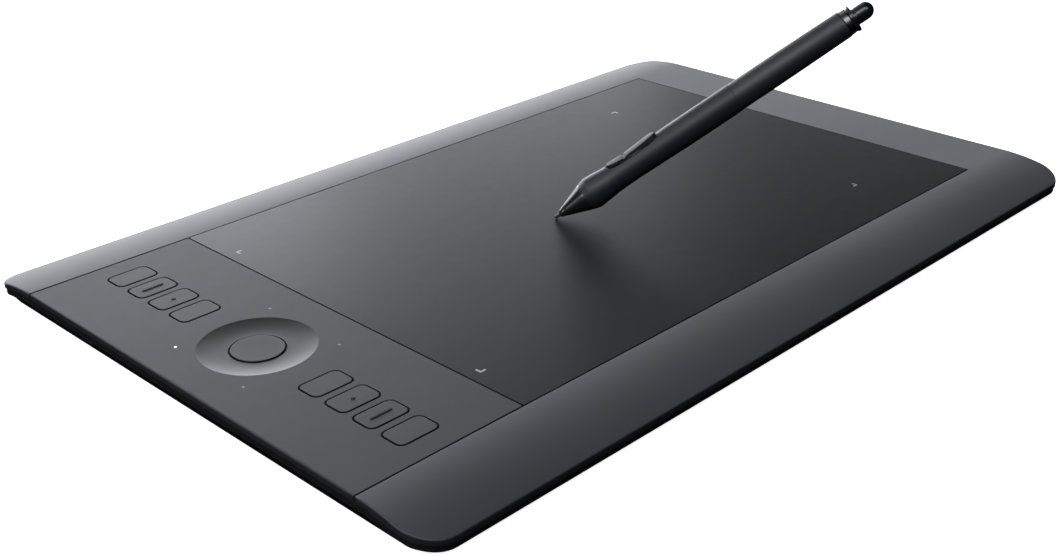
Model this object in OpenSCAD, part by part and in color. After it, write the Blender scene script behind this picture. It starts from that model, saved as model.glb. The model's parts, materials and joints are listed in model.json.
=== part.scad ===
// Pen drawing tablet with its pen standing on the drawing sheet.
// Millimetres. X runs along the long side, away from the keys; Y runs to the back edge;
// Z is up. The origin is on the desk, under the middle of the tablet.

/* [Tablet body] */
// Length of the tablet
body_l = 380; // [360:1:400]
// Depth of the tablet, front edge to back edge
body_w = 251; // [240:1:262]
// Height of the drawing surface above the desk
body_h = 12; // [11.6:0.1:13]
// Corner radius seen from above
corner_r = 13; // [8:0.5:18]
// How far the front and back edges curve down below the drawing surface
edge_drop = 5.2; // [4:0.1:5.6]
// Thickness of the upper shell
skin = 2.3; // [2:0.1:2.6]

/* [Drawing sheet] */
// Length of the drawing sheet
sheet_l = 276.6; // [240:0.2:280]
// Depth of the drawing sheet
sheet_w = 190; // [180:1:192]
// Thickness of the drawing sheet
sheet_t = 1; // [0.6:0.1:1.2]
// Width of the strip between the sheet and the far end
far_strip = 33.7; // [25:0.1:60]
// Visible seam between the panels
seam = 0.5; // [0.3:0.05:0.6]

/* [Keys and ring] */
// Distance from the key end to the key centres
key_inset = 34.8; // [30:0.1:40]
// Length of a key along X
key_l = 16.4; // [14:0.1:18]
// Width of a key along Y
key_w = 10.2; // [9:0.1:11]
// Distance between neighbouring keys
key_pitch = 14; // [13:0.1:15]
// Distance from the ring centre to the nearest key centre
key_first = 38.1; // [34:0.1:42]
// Outer radius of the touch ring
ring_r = 21; // [18:0.5:22]
// Depth of the ring's dish at the button
dish_depth = 1.2; // [0.6:0.1:1.4]
// Radius of the button in the middle of the ring
button_r = 9.5; // [8:0.1:11]
// Travel of a key or button
key_travel = 0.6; // [0.3:0.1:0.6]

/* [Pen] */
// Angle of the pen above the sheet
pen_rise = 33.5; // [30:0.5:80]
// Heading of the pen's back end, counted from X
pen_heading = -39.5; // [-180:0.5:180]
// Turn of the pen about its own axis, which places the side switch
pen_roll = 163; // [0:1:360]
// Place of the nib's tip along X
tip_x = -5.4; // [-60:0.05:60]
// Place of the nib's tip along Y
tip_y = 0.15; // [-40:0.05:40]

/* [Hidden] */

$fn = 96;
cut = 1;                                 // how far a cutting solid runs past a face
joined = 0.01;                           // overlap between two shapes that are one piece

// feet
foot_h = 0.8;                            // height of a foot below the case
foot_l = 36;
foot_w = 10;
foot_corner = 3;
foot_recess = 0.4;
foot_spots = [for (x = [-140, 0, 140], y = [-104, 104]) [x, y]];

// shells
floor_t = 1.8;                           // thickness of the case floor
floor_z = foot_h + floor_t;
wall = 2.2;                              // thickness of the case wall
part_gap = 0.35;                         // gap between the upper and lower shells
lower_setback = 0.5;                     // the lower shell stands back this far
lower_rim_z = body_h - 5.3;              // underside of the lower rim along the key end
lower_rim_drop = 4.7;                    // fall of that underside at the front and back
belly_inset = 4.3;                         // how far the belly is drawn in at the bottom
rib_t = 1.2;
rib_l = 180;
seam_y = sheet_w / 2 + seam / 2;         // middle of the two long seams
skin_z = body_h - skin;                  // underside of the upper shell
sheet_x1 = body_l / 2 - far_strip;
sheet_x0 = sheet_x1 - sheet_l;
panel_x1 = sheet_x0 - seam;

// boards and keys, stacked under the upper shell
board_t = 1.2;
shield_t = 0.4;
sensor_margin = 2;                       // the sensor board ends this far inside the sheet
shield_margin = 4;
sensor_z = skin_z - board_t;
shield_z = sensor_z - shield_t;
key_x = -body_l / 2 + key_inset;
flange_t = 0.7;
flange_out = 1;
flange_gap = 0.1;                        // the key's flange stays this far below the panel
cap_bottom_z = skin_z - flange_gap;
plunger_z = cap_bottom_z - flange_t;
dome_h = 0.8;
dome_gap = 0.1;
dome_top_z = plunger_z - key_travel - dome_gap;
key_board_top = dome_top_z - dome_h;
key_board_z = key_board_top - board_t;
key_gap = 0.55;
key_raise = 0.1;                         // key tops stand this far above the panel
key_corner = 2.4;
mark_h = 0.25;                           // height of the raised marks
button_top = body_h - 0.9;
button_gap = 0.6;
led_offset = 20;
led_r = 0.6;
led_h = 0.6;
guide_gap = 0.1;                         // between a light and the clear pin above it
stake_spots = [for (x = [-12, 12], y = [-87, -31, 31, 87]) [x, y]];
stake_r = 1;

// main board and inlet
main_board_z = 2.9;
main_board_t = 0.8;
main_board_top = main_board_z + main_board_t;
main_x0 = -body_l / 2 + 7.6;
main_x1 = main_x0 + 54;
main_y0 = 26;
main_y1 = 84;
board_spots = [for (x = [main_x0 + 6, main_x1 - 6], y = [main_y0 + 6, main_y1 - 6]) [x, y]];
post_r = 2;
inlet_y = 60;
inlet_w = 7.5;
inlet_h = 2.7;
inlet_l = 7.2;
inlet_x = -body_l / 2 + 2.8;             // the inlet's mouth stands back under the rim
inlet_gap = 0.2;
notch_w = 11.5;                          // finger notch in the belly, around the mouth
ribbon_t = 0.15;

// screws and their bosses
case_spots = [for (x = [-172, -60, 60, 172], y = [-106, 106]) [x, y]];
panel_spots = [for (x = [-177, -128], y = [-88, 88]) [x, y]];
screw_spots = concat(case_spots, panel_spots);
boss_r = 3.6;
upper_boss_r = 3;
boss_split_z = 5.6;
screw_r = 1.15;
screw_l = 6.2;
pilot_r = 1.2;
pilot_depth = 4;
clear_r = 1.4;
head_r = 2.2;
head_h = 1.3;
head_seat_z = 2.3;
head_recess_r = 2.6;
cross_l = 2.6;                           // cross slot in a screw's head
cross_w = 0.5;
cross_depth = 0.6;

// pen, measured from the nib's tip along its axis
nib_r = 0.85;
nib_rest = 0.02;                         // gap between the nib's round tip and the sheet
nib_end = 29;
nib_sensor_start = 29.55;                // leaves the nib its travel
nib_sensor_end = 31.6;
cone_start = 2.4;
cone_end = 15.4;
grip_end = 87.3;
barrel_start = 87.5;
barrel_end = 138.4;
accent_start = 138.5;
accent_end = 140.9;
collar_start = 141;
collar_end = 142.8;
eraser_r = 3.5;
eraser_start = 139.5;
eraser_end = 151.3;
eraser_sensor_start = 133;
eraser_sensor_end = 138.6;               // leaves the eraser its travel
sensor_r = 2.7;
carrier_r = 4.4;
carrier_wall = 1;
carrier_bore = carrier_r - carrier_wall;
carrier_start = 13;
carrier_end = 137.6;
slip = 0.02;                             // radial fit of the sleeve and barrel on the carrier
pen_board_start = 31.9;
pen_board_end = 116;
pen_board_x = 0.1;                       // face of the board that looks at the side switch
switch_mid = 41.1;
switch_l = 23.4;
switch_w = 7.5;
switch_gap = 0.45;
switch_base = 4.3;                       // distance of the switch's underside from the axis
leg_half = 1.5;                          // half width of the switch's leg, which the pin crosses
contact_offset = 7;                      // of each side contact from the pin
contact_top = 3.95;
pivot_x = 2.8;
pin_r = 0.5;
pin_l = 5.8;
lug_half = 3;                            // half length of the carrier's two lugs

// ---------- shared shapes ----------

// rounded rectangle about the origin
module round_rect(l, w, r) {
    square([l - 2 * r, w], center = true);
    square([l, w - 2 * r], center = true);
    for (x = [-1, 1], y = [-1, 1]) translate([x * (l / 2 - r), y * (w / 2 - r)]) circle(r);
}

// slab with the tablet's outline, drawn in by an inset
module plan_slab(inset, z0, z1) {
    translate([0, 0, z0]) linear_extrude(z1 - z0)
        round_rect(body_l - 2 * inset, body_w - 2 * inset, corner_r - inset);
}

// side view (Y, Z) of everything under a surface that is flat between the seams
// and curves down beyond them
module crown_2d(top, drop) {
    run = body_w / 2 - seam_y;
    bend_r = (run * run + drop * drop) / (2 * drop);
    reach = run + 2;
    translate([-seam_y, -cut]) square([2 * seam_y, top + cut]);
    for (side = [-1, 1]) translate([side * seam_y, top - bend_r]) intersection() {
        circle(bend_r, $fn = 360);
        translate([side > 0 ? 0 : -reach, bend_r - top - cut]) square([reach, top + cut]);
    }
}

module along_x(l) {
    rotate([90, 0, 90]) translate([0, 0, -l / 2]) linear_extrude(l) children();
}

// solid under the crown, over the whole length
module under_crown(top, drop) {
    along_x(body_l + 4 * cut) crown_2d(top, drop);
}

// rounded plan that widens evenly from one inset to another
module tapered_plan(inset0, inset1, z0, z1) {
    h = z1 - z0;
    half_l = body_l / 2 - corner_r;
    half_w = body_w / 2 - corner_r;
    r0 = corner_r - inset0;
    r1 = corner_r - inset1;
    translate([0, 0, z0]) {
        for (x = [-1, 1], y = [-1, 1]) translate([x * half_l, y * half_w]) cylinder(h, r0, r1);
        rotate([90, 0, 0]) translate([0, 0, -half_w]) linear_extrude(2 * half_w)
            trapezoid(half_l + r0, half_l + r1, h);
        along_x(2 * half_l) trapezoid(half_w + r0, half_w + r1, h);
    }
}

module trapezoid(half0, half1, h) {
    polygon([[-half0, 0], [half0, 0], [half1, h], [-half1, h]]);
}

module at_spots(spots, z) {
    for (p = spots) translate([p[0], p[1], z]) children();
}

// position of key number i, 1 at the front, 8 at the back
function key_y(i) = i < 5 ? -key_first - (4 - i) * key_pitch : key_first + (i - 5) * key_pitch;

// ---------- tablet shells ----------

module top_case() {
    color([0.27, 0.27, 0.28]) difference() {
        union() {
            difference() {
                intersection() {
                    plan_slab(0, 0, body_h);
                    under_crown(body_h, edge_drop);
                }
                translate([0, 0, -skin]) under_crown(body_h, edge_drop);
            }
            intersection() {
                at_spots(case_spots, boss_split_z) cylinder(body_h, r = upper_boss_r);
                under_crown(skin_z + joined, edge_drop);
            }
        }
        translate([panel_x1, -seam_y - seam / 2, body_h - sheet_t])
            cube([sheet_x1 + seam - panel_x1, 2 * seam_y + seam, sheet_t + cut]);
        translate([-body_l / 2 - cut, -seam_y - seam / 2, 0])
            cube([panel_x1 + seam + body_l / 2 + cut, 2 * seam_y + seam, body_h + cut]);
        at_spots(case_spots, boss_split_z - cut) cylinder(pilot_depth + cut, r = pilot_r);
    }
}

module key_panel() {
    color([0.35, 0.35, 0.36]) difference() {
        union() {
            translate([-body_l / 2, -sheet_w / 2, skin_z])
                cube([panel_x1 + body_l / 2, sheet_w, skin]);
            at_spots(panel_spots, boss_split_z)
                cylinder(skin_z - boss_split_z + joined, r = upper_boss_r);
            translate([key_x, 0, 0]) at_spots(stake_spots, key_board_z - stake_r / 2)
                cylinder(skin_z - key_board_z + stake_r / 2 + joined, r = stake_r);
        }
        for (i = [1:8]) translate([key_x, key_y(i), skin_z - cut]) linear_extrude(skin + 2 * cut)
            round_rect(key_l + 2 * key_gap, key_w + 2 * key_gap, key_corner + key_gap);
        translate([key_x, 0, skin_z - cut]) cylinder(skin + 2 * cut, r = ring_r);
        for (x = [-1, 1], y = [-1, 1])
            translate([key_x + x * led_offset, y * led_offset, skin_z - cut])
                cylinder(skin + 2 * cut, r = led_r + 0.05);
        at_spots(panel_spots, boss_split_z - cut) cylinder(pilot_depth + cut, r = pilot_r);
    }
}

module drawing_sheet() {
    color([0.24, 0.24, 0.25]) translate([sheet_x0, -sheet_w / 2, body_h - sheet_t])
        cube([sheet_l, sheet_w, sheet_t]);
}

module bottom_case() {
    rim_top = body_h - skin - part_gap;
    belly_slope = (belly_inset - lower_setback) / (lower_rim_z - foot_h);
    floor_inset = belly_inset - floor_t * belly_slope + wall;
    color([0.13, 0.13, 0.14]) difference() {
        intersection() {
            plan_slab(lower_setback, foot_h, body_h);
            under_crown(rim_top, edge_drop);
            union() {
                tapered_plan(belly_inset, lower_setback, foot_h, lower_rim_z);
                difference() {
                    plan_slab(lower_setback, lower_rim_z - lower_rim_drop, body_h);
                    under_crown(lower_rim_z, lower_rim_drop);
                }
            }
        }
        difference() {
            union() {
                tapered_plan(floor_inset, lower_setback + wall, floor_z, lower_rim_z);
                plan_slab(lower_setback + wall, lower_rim_z - joined, body_h);
            }
            for (x = [-80 : 40 : 120])
                translate([x - rib_t / 2, -rib_l / 2, 0]) cube([rib_t, rib_l, shield_z]);
            at_spots(screw_spots, 0) cylinder(boss_split_z, r = boss_r);
            at_spots(board_spots, 0) cylinder(main_board_z, r = post_r);
        }
        at_spots(screw_spots, -cut) cylinder(head_seat_z + cut, r = head_recess_r);
        at_spots(screw_spots, 0) cylinder(boss_split_z + cut, r = clear_r);
        foot_shapes();
        translate([-body_l / 2 - cut, inlet_y - notch_w / 2, main_board_z - inlet_gap])
            cube([inlet_x + body_l / 2 + cut, notch_w, lower_rim_z - main_board_z + inlet_gap]);
        translate([-body_l / 2 - cut, inlet_y - inlet_w / 2 - inlet_gap, main_board_top - inlet_gap])
            cube([inlet_x + body_l / 2 + inlet_l, inlet_w + 2 * inlet_gap, inlet_h + 2 * inlet_gap]);
    }
}

module foot_shapes() {
    at_spots(foot_spots, 0) linear_extrude(foot_h + foot_recess) round_rect(foot_l, foot_w, foot_corner);
}

module rubber_feet() {
    color([0.09, 0.09, 0.09]) foot_shapes();
}

module case_screws() {
    color([0.6, 0.6, 0.62]) at_spots(screw_spots, 0) difference() {
        union() {
            translate([0, 0, head_seat_z - head_h]) cylinder(head_h, r = head_r);
            translate([0, 0, head_seat_z - joined]) cylinder(screw_l, r = screw_r);
        }
        for (turn = [0, 90]) rotate([0, 0, turn])
            translate([-cross_l / 2, -cross_w / 2, 0])
                cube([cross_l, cross_w, head_seat_z - head_h + cross_depth]);
    }
}

// ---------- inside the tablet ----------

// flat plate under the sheet, smaller all round by a margin
module under_sheet(margin, z, t) {
    translate([sheet_x0 + margin, margin - sheet_w / 2, z])
        cube([sheet_l - 2 * margin, sheet_w - 2 * margin, t]);
}

module sensor_board() {
    color([0.1, 0.3, 0.2]) under_sheet(sensor_margin, sensor_z, board_t);
}

module shield_plate() {
    color([0.75, 0.75, 0.77]) under_sheet(shield_margin, shield_z, shield_t);
}

module chip(x, y, size) {
    translate([main_x0 + x, main_y0 + y, main_board_top - joined]) cube(size);
}

module main_board() {
    color([0.1, 0.35, 0.2]) {
        difference() {
            translate([main_x0, main_y0, main_board_z])
                cube([main_x1 - main_x0, main_y1 - main_y0, main_board_t]);
            at_spots(board_spots, main_board_z - cut) cylinder(main_board_t + 2 * cut, r = 1.1);
        }
        chip(20, 22, [12, 12, 1]);
        chip(38, 40, [6, 5, 0.9]);
        chip(8, 14, [5, 4, 0.9]);
    }
}

module usb_inlet() {
    shell_t = 0.3;
    back_t = 0.4;
    tongue = [inlet_l - 1, inlet_w - 3.2, 0.7];
    color([0.7, 0.7, 0.72]) translate([inlet_x, inlet_y - inlet_w / 2, main_board_top]) {
        difference() {
            cube([inlet_l, inlet_w, inlet_h]);
            translate([-cut, shell_t, shell_t])
                cube([inlet_l - back_t + cut, inlet_w - 2 * shell_t, inlet_h - 2 * shell_t]);
        }
        translate([0.8, (inlet_w - tongue.y) / 2, (inlet_h - tongue.z) / 2]) cube(tongue);
    }
}

module key_board() {
    color([0.1, 0.35, 0.2]) difference() {
        union() {
            translate([key_x, 0, key_board_z + board_t / 2]) cube([30, 182, board_t], center = true);
            translate([key_x, 0, key_board_z + board_t / 2]) cube([46, 50, board_t], center = true);
        }
        translate([key_x, 0, 0]) at_spots(stake_spots, key_board_z - cut)
            cylinder(board_t + 2 * cut, r = stake_r + 0.05);
    }
}

module dome_switches() {
    spots = concat([[key_x, 0]], [for (i = [1:8]) [key_x, key_y(i)]]);
    color([0.75, 0.75, 0.77]) at_spots(spots, key_board_top) {
        cylinder(0.3, r = 2.6);
        cylinder(dome_h, r1 = 2.4, r2 = 1.2);
    }
}

module status_leds() {
    color([0.9, 0.9, 0.85]) for (x = [-1, 1], y = [-1, 1])
        translate([key_x + x * led_offset - 0.8, y * led_offset - 0.4, key_board_top])
            cube([1.6, 0.8, led_h]);
}

module light_guides() {
    guide_z = key_board_top + led_h + guide_gap;
    color([0.8, 0.8, 0.82]) for (x = [-1, 1], y = [-1, 1])
        translate([key_x + x * led_offset, y * led_offset, guide_z]) {
            cylinder(body_h - guide_z, r = led_r);
            cylinder(1, r = 1.3);
        }
}

// flat flexible cable: steps down from the sensor board to the main board
module sensor_ribbon() {
    x0 = main_x1 - 4;
    x1 = sheet_x0 + 3.8;
    low = main_board_top;
    high = sensor_z - ribbon_t;
    color([0.75, 0.5, 0.2]) translate([0, 56, 0]) rotate([90, 0, 0]) linear_extrude(12, center = true)
        polygon([[x0, low], [x0 + 5, low], [x1 - 1.5, high], [x1, high],
            [x1, high + ribbon_t], [x1 - 1.7, high + ribbon_t],
            [x0 + 4.8, low + ribbon_t], [x0, low + ribbon_t]]);
}

// flat flexible cable: folded back between the main board and the key board
module key_ribbon() {
    x0 = main_x0 + 24;
    run = 6;
    rise = key_board_z - main_board_top;
    color([0.75, 0.5, 0.2]) translate([x0, 0, 0]) rotate([90, 0, 90]) linear_extrude(10)
        translate([main_y0 + 12, main_board_top])
            difference() {
                square([run, rise]);
                translate([-cut, ribbon_t]) square([run + cut - ribbon_t, rise - 2 * ribbon_t]);
            }
}

// ---------- keys and touch ring ----------

module touch_ring() {
    bowl_in = button_r + button_gap;
    bowl_r = (pow(ring_r - bowl_in, 2) + dish_depth * dish_depth) / (2 * dish_depth);
    color([0.33, 0.33, 0.34]) translate([key_x, 0, 0]) rotate_extrude($fn = 180) difference() {
        translate([bowl_in, skin_z]) square([ring_r - bowl_in, skin]);
        translate([bowl_in, body_h - dish_depth + bowl_r]) circle(bowl_r, $fn = 360);
    }
}

module ring_button() {
    color([0.35, 0.35, 0.36]) translate([key_x, 0, 0]) {
        translate([0, 0, cap_bottom_z - joined])
            cylinder(button_top - cap_bottom_z + joined, r = button_r);
        translate([0, 0, plunger_z]) cylinder(flange_t, r = button_r + button_gap + flange_out);
    }
}

// mark: 0 plain, 1 raised bar, 2 raised dot
module key(i, mark) {
    color([0.35, 0.35, 0.36]) translate([key_x, key_y(i), 0]) {
        translate([0, 0, cap_bottom_z - joined])
            linear_extrude(body_h + key_raise - cap_bottom_z + joined)
                round_rect(key_l, key_w, key_corner);
        translate([0, 0, plunger_z]) linear_extrude(flange_t)
            round_rect(key_l + 2 * flange_out, key_w + 2 * flange_out, key_corner);
        translate([0, 0, body_h + key_raise - mark_h]) {
            if (mark == 1) linear_extrude(2 * mark_h) round_rect(9, 1.2, 0.59);
            if (mark == 2) cylinder(2 * mark_h, r = 0.8);
        }
    }
}

// ---------- pen ----------

// stands its children, built along Z from the tip, on the sheet; +X carries the side switch
module pen_place() {
    translate([tip_x, tip_y, body_h + nib_r + nib_rest]) rotate([0, 90 - pen_rise, pen_heading])
        translate([0, 0, -nib_r]) rotate([0, 0, pen_roll]) children();
}

module turned(points) {
    rotate_extrude() polygon(points);
}

module tube(z0, z1, outer, inner) {
    translate([0, 0, z0]) difference() {
        cylinder(z1 - z0, r = outer);
        translate([0, 0, -cut]) cylinder(z1 - z0 + 2 * cut, r = inner);
    }
}

module nib() {
    color([0.12, 0.12, 0.12]) pen_place() {
        translate([0, 0, nib_r]) sphere(nib_r);
        translate([0, 0, nib_r]) cylinder(nib_end - nib_r, r = nib_r);
    }
}

module nose_cone() {
    bore = nib_r + 0.08;
    color([0.08, 0.08, 0.08]) pen_place() turned([[bore, cone_start], [1.35, cone_start],
        [2.45, 5.4], [3.4, 8], [5.3, 13.2], [6.05, cone_end], [carrier_r + 0.05, cone_end],
        [carrier_r + 0.05, carrier_start - 0.2], [bore, carrier_start - 0.2]]);
}

module grip_sleeve() {
    inner = carrier_r + slip;
    color([0.15, 0.15, 0.15]) pen_place() difference() {
        turned([[inner, cone_end + 0.05], [6.1, cone_end + 0.05], [6.7, 17.5], [6.85, 18.5], [6.75, 20],
            [6.3, 25], [5.95, 29], [5.8, 36], [5.85, 44], [6, 54], [6.12, 62], [6.12, 85.5],
            [6.02, grip_end], [inner, grip_end]]);
        translate([0, -switch_w / 2 - switch_gap, switch_mid - switch_l / 2 - switch_gap])
            cube([10, switch_w + 2 * switch_gap, switch_l + 2 * switch_gap]);
    }
}

module upper_barrel() {
    inner = carrier_r + slip;
    color([0.17, 0.17, 0.18]) pen_place() turned([[inner, barrel_start], [5.95, barrel_start],
        [5.95, 105], [5.8, 123], [5.6, barrel_end], [inner, barrel_end]]);
}

// cylinder along the side switch's pivot
module pivot_bar(l, r) {
    translate([pivot_x, 0, switch_mid]) rotate([90, 0, 0]) cylinder(l, r = r, center = true);
}

// inner tube with a window under the side switch and two lugs for its pin
module pen_carrier() {
    window_l = switch_l / 2 + 2 - lug_half;
    slot_half = leg_half + 0.3;
    color([0.2, 0.2, 0.2]) pen_place() difference() {
        tube(carrier_start, carrier_end, carrier_r, carrier_bore);
        for (z = [switch_mid + lug_half, switch_mid - lug_half - window_l])
            translate([2.9, -5, z]) cube([5, 10, window_l]);
        translate([3.45, -5, switch_mid - lug_half]) cube([5, 10, 2 * lug_half]);
        translate([0, -slot_half, switch_mid - lug_half]) cube([5, 2 * slot_half, 2 * lug_half]);
        pivot_bar(4 * carrier_r, pin_r);
    }
}

module switch_pin() {
    color([0.7, 0.7, 0.72]) pen_place() pivot_bar(pin_l, pin_r);
}

module switch_contacts() {
    color([0.75, 0.75, 0.77]) pen_place() for (side = [-1, 1])
        translate([pen_board_x, 0, switch_mid + side * contact_offset]) {
            translate([0, -1.6, -1.5]) cube([2.4, 3.2, 3]);
            rotate([0, 90, 0]) cylinder(contact_top - pen_board_x, r = 0.8);
        }
}

module nib_sensor() {
    color([0.6, 0.6, 0.6]) pen_place() translate([0, 0, nib_sensor_start])
        cylinder(nib_sensor_end - nib_sensor_start, r = sensor_r);
}

module eraser_sensor() {
    color([0.6, 0.6, 0.6]) pen_place() translate([0, 0, eraser_sensor_start])
        cylinder(eraser_sensor_end - eraser_sensor_start, r = sensor_r);
}

// rocker with two raised ends and a dip between them, on a short leg
module pen_switch() {
    half = switch_l / 2;
    crown_r = 4.25;
    leg_slot = [switch_base, 5, 5];
    color([0.22, 0.22, 0.22]) pen_place() difference() {
        intersection() {
            translate([0, switch_w / 2, switch_mid]) rotate([90, 0, 0]) linear_extrude(switch_w)
                polygon([[switch_base, -half], [6.2, -half], [6.75, 0.8 - half], [6.1, -4.2],
                    [6.1, -3], [7.15, 9.3], [5.9, half], [switch_base, half],
                    [switch_base, 1.4], [2, 1.4], [2, -1.4], [switch_base, -1.4]]);
            union() {
                translate([3, 0, switch_mid - switch_l]) cylinder(2 * switch_l, r = crown_r);
                translate([1.8, -leg_half, switch_mid - 2]) cube([3, 2 * leg_half, 4]);
            }
        }
        pivot_bar(4 * carrier_r, pin_r + 0.05);
        for (y = [leg_half, -leg_half - leg_slot.y])
            translate([0, y, switch_mid - leg_slot.z / 2]) cube(leg_slot);
    }
}

module pen_coil() {
    color([0.65, 0.4, 0.2]) pen_place() tube(15, 28, carrier_bore - 0.1, nib_r + 0.15);
}

module pen_board() {
    color([0.1, 0.35, 0.2]) pen_place() {
        translate([pen_board_x - 1, -2.9, pen_board_start])
            cube([1, 5.8, pen_board_end - pen_board_start]);
        translate([pen_board_x - 2.5, -1.9, 60]) cube([1.6, 3.8, 6]);
    }
}

module accent_ring() {
    color([0.7, 0.7, 0.71]) pen_place() turned([[4.2, accent_start], [5.45, accent_start],
        [5.25, accent_end], [4.2, accent_end]]);
}

module end_collar() {
    bore = eraser_r + 0.1;
    color([0.1, 0.1, 0.1]) pen_place() turned([[bore, barrel_end - 0.2], [4.15, barrel_end - 0.2],
        [4.15, collar_start], [5.2, collar_start], [5.7, 142.3], [5.65, collar_end],
        [4.6, collar_end], [4.1, 142.1], [bore, 142.1]]);
}

module eraser() {
    color([0.1, 0.1, 0.1]) pen_place() {
        translate([0, 0, eraser_start]) cylinder(eraser_end - eraser_r - eraser_start, r = eraser_r);
        translate([0, 0, eraser_end - eraser_r]) sphere(eraser_r);
    }
}

top_case();
key_panel();
drawing_sheet();
bottom_case();
sensor_board();
shield_plate();
main_board();
usb_inlet();
key_board();
dome_switches();
status_leds();
light_guides();
sensor_ribbon();
key_ribbon();
touch_ring();
ring_button();
rubber_feet();
case_screws();
key(1, 0);  // key_1
key(2, 1);  // key_2
key(3, 2);  // key_3
key(4, 0);  // key_4
key(5, 0);  // key_5
key(6, 2);  // key_6
key(7, 1);  // key_7
key(8, 0);  // key_8
nib();
nose_cone();
grip_sleeve();
upper_barrel();
pen_carrier();
pen_coil();
pen_board();
nib_sensor();
eraser_sensor();
switch_contacts();
pen_switch();
switch_pin();
accent_ring();
end_collar();
eraser();
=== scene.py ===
import json
import math

import bmesh
import bpy
from mathutils import Matrix, Vector


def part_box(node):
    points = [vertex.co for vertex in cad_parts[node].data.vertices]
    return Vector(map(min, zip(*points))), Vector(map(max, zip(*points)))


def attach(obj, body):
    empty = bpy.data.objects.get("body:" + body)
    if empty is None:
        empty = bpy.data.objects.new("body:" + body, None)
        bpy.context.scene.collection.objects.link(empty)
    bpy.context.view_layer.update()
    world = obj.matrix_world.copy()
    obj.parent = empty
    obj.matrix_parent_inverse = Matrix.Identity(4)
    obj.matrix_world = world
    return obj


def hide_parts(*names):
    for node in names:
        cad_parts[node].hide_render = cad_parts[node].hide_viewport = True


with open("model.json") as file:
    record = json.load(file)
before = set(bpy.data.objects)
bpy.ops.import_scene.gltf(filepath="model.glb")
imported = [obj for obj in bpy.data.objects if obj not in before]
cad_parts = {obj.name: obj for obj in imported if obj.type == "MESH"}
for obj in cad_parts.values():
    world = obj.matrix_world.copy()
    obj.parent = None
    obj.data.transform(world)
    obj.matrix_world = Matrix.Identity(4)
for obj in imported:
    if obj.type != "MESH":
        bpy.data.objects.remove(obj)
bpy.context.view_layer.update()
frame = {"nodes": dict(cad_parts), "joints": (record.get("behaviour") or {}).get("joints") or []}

MM = 0.001

# ---------- places read from the frame, and the sizes that it doesn't hold ----------

case_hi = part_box("top_case")[1]
sheet_lo, sheet_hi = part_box("drawing_sheet")
panel_lo, panel_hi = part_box("key_panel")
lower_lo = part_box("bottom_case")[0]
ring_lo, ring_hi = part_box("touch_ring")

HALF_L = case_hi.x
HALF_W = case_hi.y
TOP = sheet_hi.z
SEAM = sheet_lo.x - panel_hi.x
SEAM_Y = sheet_hi.y + SEAM / 2
CORNER = 13 * MM        # corner radius in plan
EDGE_DROP = 5.2 * MM    # fall of the upper shell from the seam to the long edge
SKIN = 2.3 * MM         # thickness of the upper shell and the key panel
OUTER_EDGE = 0.7 * MM   # rounding of the outside edge
SEAM_EDGE = 0.15 * MM   # rounding of the edges along a seam
MERGE = 1e-7            # points nearer than this are one
KEY_X = (ring_lo.x + ring_hi.x) / 2


# ---------- shapes ----------

def rounded_rect(half_x, half_y, radius, centre=(0.0, 0.0), steps=8):
    """Counter-clockwise points of a rounded rectangle."""
    points = []
    for quarter, (sx, sy) in enumerate([(1, 1), (-1, 1), (-1, -1), (1, -1)]):
        for k in range(steps + 1):
            turn = math.radians(90 * (quarter + k / steps))
            points.append((centre[0] + sx * (half_x - radius) + radius * math.cos(turn),
                           centre[1] + sy * (half_y - radius) + radius * math.sin(turn)))
    return points


def circle(radius, centre=(0.0, 0.0), steps=64):
    turns = [2 * math.pi * k / steps for k in range(steps)]
    return [(centre[0] + radius * math.cos(a), centre[1] + radius * math.sin(a)) for a in turns]


NEARLY_STRAIGHT = 0.02


def offset_loop(points, distances):
    """A closed loop moved to its right, each edge by its own distance."""
    count = len(points)
    moved = []
    for i, (x, y) in enumerate(points):
        before, after = points[i - 1], points[(i + 1) % count]
        n0 = Vector((y - before[1], before[0] - x)).normalized()
        n1 = Vector((after[1] - y, x - after[0])).normalized()
        d0, d1 = distances[i - 1], distances[i]
        cross = n0.x * n1.y - n0.y * n1.x
        if abs(cross) < NEARLY_STRAIGHT:
            step = (n0 + n1).normalized() * (d0 + d1) / 2
        else:
            step = Vector((d0 * n1.y - d1 * n0.y, d1 * n0.x - d0 * n1.x)) / cross
        moved.append((x + step.x, y + step.y))
    return moved


def join_rings(bm, rings):
    """Quads between neighbouring closed rings of the same length."""
    for upper, lower in zip(rings, rings[1:]):
        count = len(upper)
        for i in range(count):
            j = (i + 1) % count
            bm.faces.new((upper[i], lower[i], lower[j], upper[j]))


def fill_loops(bm, loops):
    """A flat face with holes, from rings of vertices.

    Its border is marked as a seam, which finish_piece turns into a sharp edge."""
    edges = []
    for ring in loops:
        for i, v in enumerate(ring):
            other = ring[(i + 1) % len(ring)]
            edges.append(bm.edges.get((v, other)) or bm.edges.new((v, other)))
    for edge in edges:
        edge.seam = True
    bmesh.ops.triangle_fill(bm, use_beauty=True, use_dissolve=False, edges=edges)


def edge_rings(bm, points, widths, top, bottom, foot, steps=4):
    """Rings from the top face's border over a rounded edge and down the wall to the bottom's."""
    reach = [max(widths[i - 1], widths[i]) for i in range(len(points))]
    level = 0.04 * MM
    loop = offset_loop(points, [-w - level for w in widths])
    rings = [[bm.verts.new((x, y, top(x, y))) for x, y in loop]]
    for k in range(steps + 1):
        turn = math.radians(90 * k / steps)
        loop = offset_loop(points, [-w * (1 - math.sin(turn)) for w in widths])
        rings.append([bm.verts.new((x, y, top(x, y) - r * (1 - math.cos(turn))))
                      for (x, y), r in zip(loop, reach)])
    rings.append([bm.verts.new((x, y, bottom(x, y) + foot)) for x, y in points])
    loop = offset_loop(points, [-foot] * len(points))
    rings.append([bm.verts.new((x, y, bottom(x, y))) for x, y in loop])
    join_rings(bm, rings)
    return rings


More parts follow.
